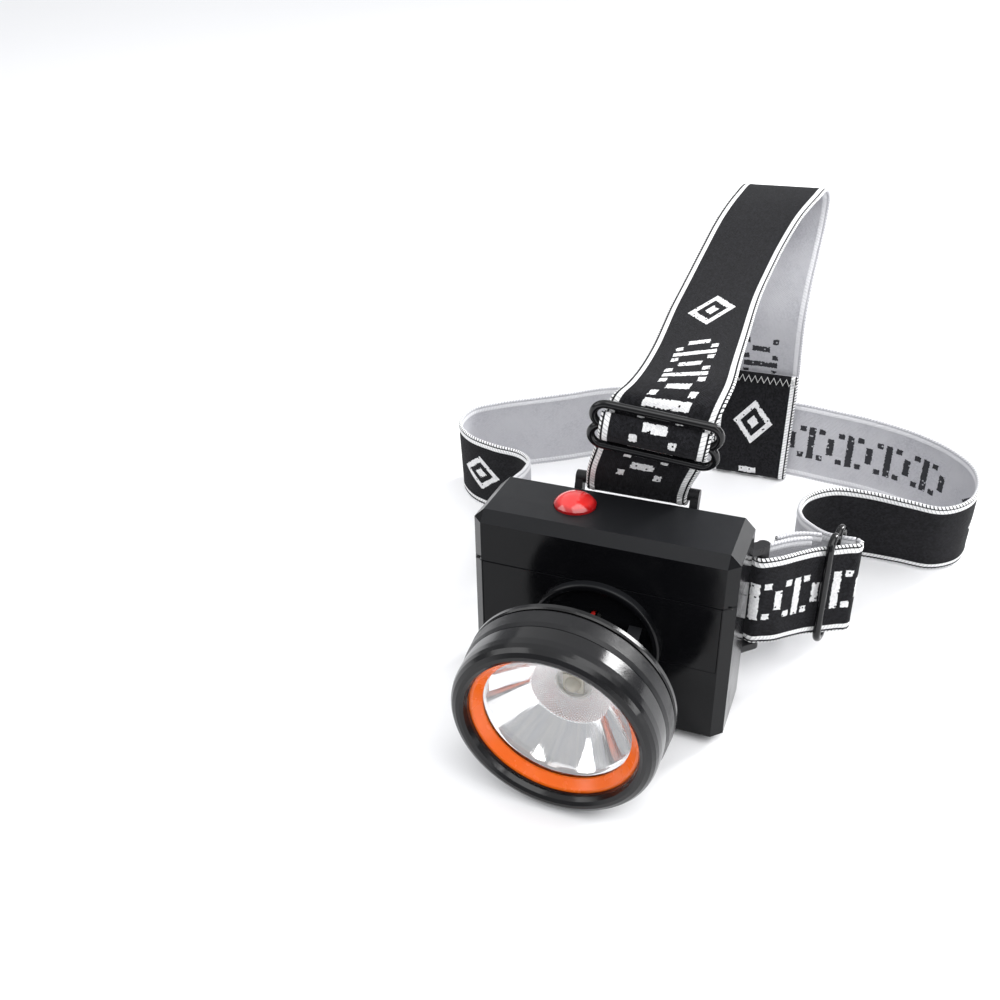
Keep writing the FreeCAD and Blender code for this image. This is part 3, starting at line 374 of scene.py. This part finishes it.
def accent_plastic(name):
    """Bright orange ring, slightly translucent."""
    net = Net(name)
    at = net.coords()
    drift = net.noise(at, 300.0, 3.0)
    net.set(Base_Color=net.mix(drift, rgb(0.78, 0.120, 0.004), rgb(0.86, 0.145, 0.006)),
            Roughness=net.ramp(drift, 0.3, 0.7, 0.2, 0.3),
            Normal=net.bump(net.noise(at, 2500.0), 0.00001, 0.4))
    net.bsdf.inputs["Subsurface Weight"].default_value = 0.25
    net.bsdf.inputs["Subsurface Radius"].default_value = (0.0012, 0.0005, 0.0002)
    net.bsdf.inputs["Subsurface Scale"].default_value = 1.0
    return net.mat


def button_plastic(name):
    """Glossy translucent red, with painted shade darkening it towards the collar."""
    net = Net(name)
    at = net.coords(tuple(on_box(-9.8, -8.0, 52.0)), LEAN)
    x, y, z = net.split(at)
    radius = net.math("SQRT", net.math("ADD", net.math("MULTIPLY", x, x), net.math("MULTIPLY", y, y)))
    # painted shade: the red darkens towards the collar, where the housing shades the dome
    rim = net.ramp(radius, 0.0040, 0.0051)
    cloud = net.noise(at, 420.0, 3.0)
    middle = net.mix(cloud, rgb(0.66, 0.022, 0.022), rgb(0.76, 0.035, 0.032))
    net.set(Base_Color=net.mix(rim, middle, rgb(0.36, 0.006, 0.008)),
            Roughness=net.ramp(cloud, 0.3, 0.7, 0.07, 0.12), Normal=net.bump(cloud, 0.00004, 0.3))
    net.bsdf.inputs["Subsurface Weight"].default_value = 0.35
    net.bsdf.inputs["Subsurface Radius"].default_value = (0.003, 0.0006, 0.0004)
    net.bsdf.inputs["Subsurface Scale"].default_value = 1.0
    net.bsdf.inputs["Coat Weight"].default_value = 0.4
    net.bsdf.inputs["Coat Roughness"].default_value = 0.03
    return net.mat


def circuit(name, mask, track):
    """Solder mask over a maze of copper tracks."""
    net = Net(name)
    at = net.coords()
    cells = net.node("ShaderNodeTexVoronoi", feature="DISTANCE_TO_EDGE")
    net.feed(cells.inputs["Vector"], at)
    cells.inputs["Scale"].default_value = 420.0
    line = net.ramp(cells.outputs["Distance"], 0.03, 0.07)
    net.set(Base_Color=net.mix(line, rgb(*track), rgb(*mask)), Roughness=net.ramp(line, 0, 1, 0.28, 0.4),
            Normal=net.bump(line, 0.00003, 0.4))
    return net.mat


def webbing(name, pattern_at=0.0):
    """Woven strap: black face with white border cords and woven bars, pale inner face.

    The mesh carries u across (mm), v along (mm) and the side (-1 outer, +1 inner) in "weave".
    """
    net = Net(name)
    attr = net.node("ShaderNodeAttribute", attribute_name="weave", attribute_type="GEOMETRY")
    u, v, side = net.split(attr.outputs["Vector"])
    inner = net.ramp(side, -0.1, 0.1)
    mid = WEB_W / 2
    # thread cells: rows across, staggered half a pitch
    pitch_u, pitch_v = 0.44, 0.5
    col = net.math("DIVIDE", u, pitch_u)
    col_i = net.math("FLOOR", col)
    odd = net.math("MULTIPLY", net.math("PINGPONG", col_i, 1.0), 0.5)
    row = net.math("ADD", net.math("DIVIDE", v, pitch_v), odd)
    row_i = net.math("FLOOR", row)
    fu = net.math("SUBTRACT", net.math("FRACT", col), 0.5)
    fv = net.math("SUBTRACT", net.math("FRACT", row), 0.5)
    knot = net.math("SUBTRACT", 1.0, net.math("ADD", net.math("MULTIPLY", net.math("MULTIPLY", fu, fu), 2.6),
                                              net.math("MULTIPLY", net.math("MULTIPLY", fv, fv), 2.2)))
    cell = net.node("ShaderNodeCombineXYZ")
    net.feed(cell.inputs[0], col_i)
    net.feed(cell.inputs[1], row_i)
    chance = net.node("ShaderNodeTexWhiteNoise", noise_dimensions="2D")
    net.feed(chance.inputs["Vector"], cell.outputs[0])
    rnd = chance.outputs["Value"]
    # every thread strays a little, so the marks have a woven edge
    stray = net.math("SUBTRACT", rnd, 0.5)
    uq = net.math("SUBTRACT", net.math("ADD", u, net.math("MULTIPLY", stray, 0.25)), mid)
    vq = net.math("ADD", v, net.math("MULTIPLY", stray, 0.3))
    vq = net.math("ADD", vq, pattern_at)
    au = net.math("ABSOLUTE", uq)
    block = 200.0
    along = net.math("MULTIPLY", net.math("FRACT", net.math("DIVIDE", vq, block)), block)

    def within(value, low, high):
        return net.math("MULTIPLY", net.math("GREATER_THAN", value, low), net.math("LESS_THAN", value, high))

    # plain bars across, every other one short, with a pair of blocks between
    step = net.math("DIVIDE", along, 6.2)
    long_bar = net.math("PINGPONG", net.math("FLOOR", step), 1.0)
    reach = net.math("ADD", net.math("MULTIPLY", long_bar, 2.6), 2.8)
    bars = net.math("MULTIPLY", net.math("LESS_THAN", net.math("FRACT", step), 0.34),
                    net.math("LESS_THAN", au, reach))
    blocks = net.math("MULTIPLY", within(net.math("FRACT", step), 0.52, 0.84), within(au, 3.6, 5.4))
    bars = net.math("MULTIPLY", net.math("MAXIMUM", bars, blocks), within(along, 8.5, 64.0))
    # open lozenge round a dot
    rise = net.math("ABSOLUTE", net.math("SUBTRACT", along, 80.0))
    loz = net.math("ADD", net.math("DIVIDE", au, 6.4), net.math("DIVIDE", rise, 7.6))
    loz = net.math("MAXIMUM", within(loz, 0.66, 1.0), net.math("LESS_THAN", loz, 0.3))
    mark = net.math("MAXIMUM", bars, loz)
    # borders
    edge = net.math("SUBTRACT", mid, net.math("ABSOLUTE", net.math("SUBTRACT", u, mid)))
    twist = net.math("PINGPONG", net.math("ADD", v, net.math("MULTIPLY", edge, 0.5)), 0.5)
    cord_in = net.math("MULTIPLY", net.ramp(edge, 0.95, 1.1, 0, 1), net.ramp(edge, 2.35, 2.2, 0, 1))
    cord_out = net.ramp(edge, 0.62, 0.5, 0, 1)
    border = net.math("MAXIMUM", cord_in, net.math("MULTIPLY", cord_out, net.ramp(twist, 0.12, 0.2)))
    white = net.mix(net.ramp(twist, 0.0, 0.16), rgb(0.36, 0.36, 0.37), rgb(0.84, 0.84, 0.84))
    black = net.mix(net.ramp(rnd, 0.0, 1.0, smooth=False), rgb(0.004, 0.004, 0.005), rgb(0.017, 0.017, 0.020))
    whites = net.mix(net.ramp(rnd, 0.0, 1.0, smooth=False), rgb(0.70, 0.70, 0.71), rgb(0.86, 0.86, 0.86))
    miss = net.math("GREATER_THAN", rnd, 0.03)
    face = net.mix(net.math("MULTIPLY", mark, miss), black, whites)
    face = net.mix(border, face, white)
    grey = net.mix(net.ramp(rnd, 0.0, 1.0, smooth=False), rgb(0.40, 0.40, 0.43), rgb(0.50, 0.50, 0.53))
    cloud = net.noise(net.coords(), 90.0, 3.0)
    grey = net.mix(net.ramp(cloud, 0.3, 0.7), grey, rgb(0.50, 0.50, 0.525))
    back = net.mix(net.math("MULTIPLY", mark, miss), grey, rgb(0.035, 0.035, 0.04))
    back = net.mix(border, back, rgb(0.66, 0.66, 0.68))
    colour = net.mix(inner, face, back)
    rope = net.math("MULTIPLY", net.math("MULTIPLY", border, twist), 1.6)
    weave = net.math("ADD", net.math("MULTIPLY", knot, net.ramp(border, 0, 1, 1.0, 0.3)), rope)
    net.set(Base_Color=colour, Roughness=net.ramp(rnd, 0, 1, 0.78, 0.9), Normal=net.bump(weave, 0.00016, 0.9))
    net.bsdf.inputs["Specular IOR Level"].default_value = 0.12
    net.bsdf.inputs["Sheen Weight"].default_value = 0.03
    net.bsdf.inputs["Sheen Roughness"].default_value = 0.5
    return net.mat


def thread(name, colour):
    """Twisted sewing thread."""
    net = Net(name)
    at = net.coords()
    ply = net.node("ShaderNodeTexWave", wave_type="BANDS", bands_direction="DIAGONAL")
    net.feed(ply.inputs["Vector"], at)
    ply.inputs["Scale"].default_value = 900.0
    net.set(Base_Color=net.mix(ply.outputs["Fac"], rgb(*[c * 0.7 for c in colour]), rgb(*colour)),
            Roughness=net.ramp(ply.outputs["Fac"], 0, 1, 0.6, 0.75),
            Normal=net.bump(ply.outputs["Fac"], 0.00008, 0.8))
    return net.mat


def dress():
    """Give every carried-over CAD node its material."""
    case = case_plastic("case_plastic")
    gloss = moulded("head_plastic", (0.004, 0.004, 0.0045), (0.006, 0.006, 0.007), 0.15, 0.05, 0.32)
    wire = moulded("buckle_enamel", (0.003, 0.003, 0.0035), (0.005, 0.005, 0.006), 0.12, 0.05, 0.35, 0.00001)
    frame_black = moulded("bracket_plastic", (0.010, 0.010, 0.011), (0.016, 0.016, 0.017), 0.32, 0.1, 0.25)
    soft = moulded("seal_rubber", (0.012, 0.012, 0.012), (0.02, 0.02, 0.02), 0.6, 0.1, 0.3)
    steel = metal("bright_steel", (0.62, 0.62, 0.63), 0.25)
    black_steel = metal("black_steel", (0.06, 0.06, 0.065), 0.3)
    nickel = metal("nickel_strip", (0.66, 0.63, 0.58), 0.3, 1.0)
    brass = metal("brass_pin", (0.80, 0.62, 0.32), 0.2)
    alloy = metal("turned_aluminium", (0.78, 0.78, 0.79), 0.3, 1.0)
    sleeve = moulded("cell_sleeve", (0.02, 0.10, 0.32), (0.03, 0.13, 0.38), 0.22, 0.06, 0.5)
    grey = moulded("switch_plastic", (0.20, 0.20, 0.21), (0.26, 0.26, 0.27), 0.4)
    white = moulded("white_plastic", (0.74, 0.74, 0.70), (0.82, 0.82, 0.79), 0.4)
    chip = moulded("chip_plastic", (0.014, 0.014, 0.015), (0.024, 0.024, 0.025), 0.5)
    red = moulded("lead_red", (0.42, 0.01, 0.01), (0.5, 0.02, 0.015), 0.45)
    black = moulded("lead_black", (0.012, 0.012, 0.012), (0.02, 0.02, 0.02), 0.45)
    looks = {
        "upper_case": case, "lower_case": case, "lamp_mount_plate": case, "case_seal": soft,
        "strap_bracket": frame_black, "bracket_screws": black_steel, "cell_tab_joined": nickel,
        "cell_tabs_output": nickel,
        "driver_board": circuit("green_board", (0.01, 0.10, 0.04), (0.03, 0.2, 0.09)),
        "board_parts": chip, "board_screws": steel, "switch_body": grey, "switch_plunger": white,
        "button_cap": button_plastic("button_plastic"), "charge_jack": chip, "charge_pin": brass,
        "tilt_screw": black_steel, "tilt_nut": black_steel, "friction_washers": steel,
        "battery_cell_lower": sleeve, "battery_cell_upper": sleeve, "battery_lead_red": red,
        "battery_lead_black": black, "lamp_lead_red": red, "lamp_lead_black": black,
        "bezel_ring": gloss, "accent_ring": accent_plastic("accent_plastic"), "lens_seal": soft,
        "lens": clear_plastic("lens_plastic", (0.985, 0.99, 0.99), 0.0),
        "reflector": reflector_metal("reflector_metal"), "head_body": speckled("speckled_band"),
        "head_rear_shell": gloss, "head_screws": black_steel, "led_spacer": white,
        "led_emitter": clear_led("led_dome"),
        "led_board": circuit("white_board", (0.75, 0.75, 0.73), (0.62, 0.62, 0.6)),
        "led_board_screws": steel, "heat_sink": alloy, "head_lead_red": red, "head_lead_black": black,
        "top_glide": wire, "side_glide": wire,
    }
    for name, material in looks.items():
        mesh = NODES[name].data
        mesh.materials.clear()
        mesh.materials.append(material)


def clear_led(name):
    """Phosphor-yellow emitter under a glossy dome."""
    net = Net(name)
    at = net.coords()
    cloud = net.noise(at, 900.0, 3.0)
    net.set(Base_Color=net.mix(cloud, rgb(0.50, 0.47, 0.33), rgb(0.60, 0.57, 0.44)),
            Roughness=net.ramp(cloud, 0.3, 0.7, 0.08, 0.14))
    net.bsdf.inputs["Coat Weight"].default_value = 1.0
    return net.mat


# ---- webbing meshes -----------------------------------------------------------------------------
def blend_pair(a, b, t, knots, k, span):
    """One step of the Catmull-Rom pyramid."""
    t0, t1 = (knots[1], knots[2]) if span == 3 else (knots[k], knots[k + span])
    w = (t - t0) / (t1 - t0)
    return tuple((1 - w) * p + w * q for p, q in zip(a, b))


def smooth(points, step=1.0):
    """Centripetal Catmull-Rom through a route, about one section per step of length."""
    ends = [tuple(2 * a - b for a, b in zip(points[0], points[1]))] + points
    ends.append(tuple(2 * a - b for a, b in zip(points[-1], points[-2])))
    out = []
    for quad in zip(ends, ends[1:], ends[2:], ends[3:]):
        knots = [0.0]
        for a, b in zip(quad, quad[1:]):
            knots.append(knots[-1] + max(math.dist(a[:3], b[:3]), 1e-6) ** 0.5)
        steps = max(2, round(math.dist(quad[1][:3], quad[2][:3]) / step))
        for i in range(steps):
            t = knots[1] + (knots[2] - knots[1]) * i / steps
            level = list(quad)
            for span in (1, 2, 3):
                level = [blend_pair(level[k], level[k + 1], t, knots, k, span) for k in range(4 - span)]
            out.append(level[0])
    out.append(points[-1])
    return out


def strap_profile(width, thickness):
    """Closed cross-section points (w, t, u, side): raised border cords, rounded selvedges."""
    half = width / 2
    h = thickness / 2
    stops = [0.0, 0.12, 0.35, 0.75, 1.0, 1.25, 1.65, 2.05, 2.35, 2.7, 4.2, 6.3, 8.5, 10.6, 12.7]
    tops = [0.0, 0.45, 0.78, 0.84, 0.70, 0.88, 1.0, 0.98, 0.86, 0.78, 0.76, 0.78, 0.78, 0.78, 0.78]
    rise = []
    scale = half / 12.7
    for s, t in zip(stops, tops):
        rise.append((s * scale, t * h))
    across = [(-half + s, t) for s, t in rise] + [(half - s, t) for s, t in reversed(rise[:-1])]
    outer = [(w, -t, w + half, -1.0) for w, t in across]
    inner = [(w, t, w + half, 1.0) for w, t in reversed(across[1:-1])]
    return outer + inner


def strap(name, centres, across, material, nodes, body, v0=0.0, width=WEB_W, thickness=WEB_T, where=place):
    """A webbing band with its weave coordinates, closed at both cut ends."""
    profile = strap_profile(width, thickness)
    verts, weave = [], []
    v = v0
    last = len(centres) - 1
    for i, (centre, side) in enumerate(zip(centres, across)):
        if i:
            v += math.dist(centres[i], centres[i - 1])
        run = Vector(centres[min(i + 1, last)]) - Vector(centres[max(i - 1, 0)])
        side = Vector(side)
        run -= side * (run.dot(side) / side.dot(side))
        wide = side.normalized()
        thick = run.cross(side).normalized()
        for w, t, u, face in profile:
            verts.append(tuple(where(*(Vector(centre) + wide * w + thick * t))))
            weave.append((u, v, 0.0 if u in (0.0, width) else face))
    n = len(profile)
    faces = []
    for i in range(last):
        for k in range(n):
            faces.append((i * n + k, (i + 1) * n + k, (i + 1) * n + (k + 1) % n, i * n + (k + 1) % n))
    faces.append(tuple(range(n)))
    faces.append(tuple(last * n + k for k in reversed(range(n))))
    mesh = bpy.data.meshes.new(name)
    mesh.from_pydata(verts, [], faces)
    layer = mesh.attributes.new("weave", "FLOAT_VECTOR", "POINT")
    layer.data.foreach_set("vector", [c for p in weave for c in p])
    mesh.polygons.foreach_set("use_smooth", [len(p.vertices) == 4 for p in mesh.polygons])
    mesh.materials.append(material)
    mesh.update()
    made = bpy.data.objects.new(name, mesh)
    bpy.context.scene.collection.objects.link(made)
    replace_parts(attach(made, body), *nodes)
    return made


def standing(route):
    """Centres and width directions of a band on edge."""
    line = [(x, y, max(z, WEB_W / 2), lean) for x, y, z, lean in smooth(route)]
    return [p[:3] for p in line], [(0, p[3], 1) for p in line]


def lying(route):
    """Centres and width directions of the strap over the head."""
    line = smooth(route)
    across = [(math.cos(math.radians(p[3])), math.sin(math.radians(p[3])), math.tan(math.radians(p[4])))
              for p in line]
    return [p[:3] for p in line], across


def glide_place(centre, along_bars, along_height):
    """A function from buckle-frame millimetres to the row frame."""
    x = Vector(along_bars).normalized()
    z = Vector(along_height)
    z = (z - x * z.dot(x)).normalized()
    y = z.cross(x)

    def where(a, b, c):
        return place(*(Vector(centre) + x * a + y * b + z * c))
    return where


def make_webbing():
    """The five visible lengths of webbing."""
    band = webbing("webbing_band", 187.0)
    tail = webbing("webbing_tail", 12.0)
    top = webbing("webbing_top", 177.0)
    strap("headband_webbing", *standing(BAND_ROUTE), band, ["headband"], "housing")
    strap("tail_webbing", *standing(TAIL_ROUTE), tail, ["headband_tail"], "housing")
    strap("doubling_webbing", *standing(DOUBLING_ROUTE), tail, ["headband_doubling"], "housing", 90.0)
    strap("top_strap_webbing", *lying(TOP_ROUTE), top, ["top_strap"], "housing")
    hump = smooth([(0, -0.1, -3.9), (0, -1.0, -3.0), (0, -1.8, -1.6), (0, -2.0, 0), (0, -1.8, 1.6),
                   (0, -1.0, 3.0), (0, -0.1, 3.9)], 0.4)
    strap("top_glide_hump", hump, [(1, 0, 0)] * len(hump), webbing("webbing_hump", 6.0),
          ["top_glide_webbing"],
          "top_slide_buckle", 0.0, WEB_W, 1.1, glide_place(TOP_GLIDE, TOP_GLIDE_BARS, TOP_SLIDE_AXIS))


def make_reflector():
    """The bowl as a fine surface of revolution, with soft radial pleats."""
    hole, mouth, back, front = 4.5, 17.7, -15.5, -4.3
    rows, turns = 40, 288
    profile = []
    for i in range(rows + 1):
        station = back + (front - back) * (i / rows) ** 2
        radius = math.sqrt(hole ** 2 + (station - back) / (front - back) * (mouth ** 2 - hole ** 2))
        profile.append((radius, station))
    outer = [(r + 0.9, st) for r, st in reversed(profile) if st < -5.6]
    ring = profile + [(20.35, front), (20.35, -5.5), (outer[0][0] + 0.3, -5.5)] + outer
    verts, faces = [], []
    for r, st in ring:
        for k in range(turns):
            t = 2 * math.pi * k / turns
            wave = 0.5 + 0.5 * math.cos(9 * t + 1.3 * math.sin(4 * t))
            pleat = 1.0 - 0.006 * wave * (r < 17.6)
            y = -(st + RING_TO_PIVOT)
            x, z = r * pleat * math.cos(t), r * pleat * math.sin(t)
            yb = PIVOT[1] + y * math.cos(HEAD_TILT) - z * math.sin(HEAD_TILT)
            zb = PIVOT[2] + y * math.sin(HEAD_TILT) + z * math.cos(HEAD_TILT)
            verts.append(tuple(on_box(x, yb, zb)))
    n = len(ring)
    for i in range(n):
        for k in range(turns):
            faces.append((i * turns + k, i * turns + (k + 1) % turns,
                          ((i + 1) % n) * turns + (k + 1) % turns, ((i + 1) % n) * turns + k))
    mesh = bpy.data.meshes.new("reflector_bowl")
    mesh.from_pydata(verts, [], faces)
    mesh.polygons.foreach_set("use_smooth", [True] * len(faces))
    mesh.materials.append(reflector_metal("bowl_metal"))
    made = bpy.data.objects.new("reflector_bowl", mesh)
    bpy.context.scene.collection.objects.link(made)
    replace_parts(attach(made, "lamp_head"), "reflector")


def tube(name, points, radius, material, body, sides=8):
    """A closed thread or wire swept along points in the row frame."""
    verts, faces = [], []
    last = len(points) - 1
    guide = Vector((0, 0, 1))
    for i, p in enumerate(points):
        run = (points[min(i + 1, last)] - points[max(i - 1, 0)]).normalized()
        a = run.cross(guide)
        if a.length < 0.1:
            a = run.cross(Vector((1, 0, 0)))
        a.normalize()
        b = run.cross(a)
        for k in range(sides):
            t = 2 * math.pi * k / sides
            verts.append(p + (a * math.cos(t) + b * math.sin(t)) * radius)
    for i in range(last):
        for k in range(sides):
            faces.append((i * sides + k, i * sides + (k + 1) % sides,
                          (i + 1) * sides + (k + 1) % sides, (i + 1) * sides + k))
    faces.append(tuple(reversed(range(sides))))
    faces.append(tuple(last * sides + k for k in range(sides)))
    mesh = bpy.data.meshes.new(name)
    mesh.from_pydata([tuple(v) for v in verts], [], faces)
    mesh.polygons.foreach_set("use_smooth", [len(p.vertices) == 4 for p in mesh.polygons])
    mesh.materials.append(material)
    made = bpy.data.objects.new(name, mesh)
    bpy.context.scene.collection.objects.link(made)
    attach(made, body)
    return made


def make_stitching():
    """Zigzag seam across the turned-up end of the top strap."""
    white = thread("seam_thread", (0.75, 0.75, 0.74))
    points = []
    for i in range(25):
        x = 3.6 + 24.0 * i / 24
        points.append(place(x, 106.55 + (0.24 if i % 2 else 0.0), 34.6 + (1.1 if i % 2 else -1.1)))
    seam = tube("patch_seam", points, 0.00022, white, "housing")
    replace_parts(seam, "patch_stitches")


# ---- studio -------------------------------------------------------------------------------------
def area_light(name, at, look, size, power, colour=(1, 1, 1)):
    data = bpy.data.lights.new(name, "AREA")
    data.shape = "RECTANGLE"
    data.size, data.size_y = size
    data.energy = power
    data.color = colour
    made = bpy.data.objects.new(name, data)
    made.location = at
    made.rotation_mode = "QUATERNION"
    made.rotation_quaternion = (Vector(look) - Vector(at)).to_track_quat("-Z", "Y")
    bpy.context.scene.collection.objects.link(made)


def make_studio():
    """Plain pale floor, pale surroundings and soft boxes."""
    world = bpy.data.worlds.new("studio")
    world.use_nodes = True
    back = world.node_tree.nodes["Background"]
    back.inputs["Color"].default_value = (0.95, 0.97, 1.0, 1.0)
    back.inputs["Strength"].default_value = 0.5
    bpy.context.scene.world = world
    mesh = bpy.data.meshes.new("floor")
    r = 6.0
    mesh.from_pydata([(-r, -r, 0), (r, -r, 0), (r, r, 0), (-r, r, 0)], [], [(0, 1, 2, 3)])
    net = Net("pale_floor")
    mottle = net.noise(net.coords(), 3.0)
    net.set(Base_Color=net.mix(mottle, rgb(0.86, 0.86, 0.87), rgb(0.88, 0.88, 0.89)),
            Roughness=net.ramp(mottle, 0, 1, 0.6, 0.7))
    mesh.materials.append(net.mat)
    floor = bpy.data.objects.new("floor", mesh)
    floor.location.z = -0.0002
    bpy.context.scene.collection.objects.link(floor)
    target = (0.0, 0.0, 0.03)
    area_light("overhead", (0.0, 1.6, 2.8), (0.0, 1.0, 0.0), (9.0, 9.0), 175.0)
    area_light("key", (0.3, -0.2, 0.8), target, (0.9, 0.6), 4.5)
    area_light("strip", (0.62, -0.3, 0.28), target, (0.12, 0.5), 1.2)
    area_light("rim", (0.50, 0.62, 0.40), (-0.005, -0.08, 0.03), (0.16, 0.4), 7.0)
    area_light("fill", (-0.6, -0.3, 0.45), target, (0.5, 0.4), 1.6)


make_camera()
dress()
make_webbing()
make_stitching()
make_reflector()
make_studio()

SCENE = bpy.context.scene
SCENE.view_settings.view_transform = "Standard"
SCENE.view_settings.look = "None"
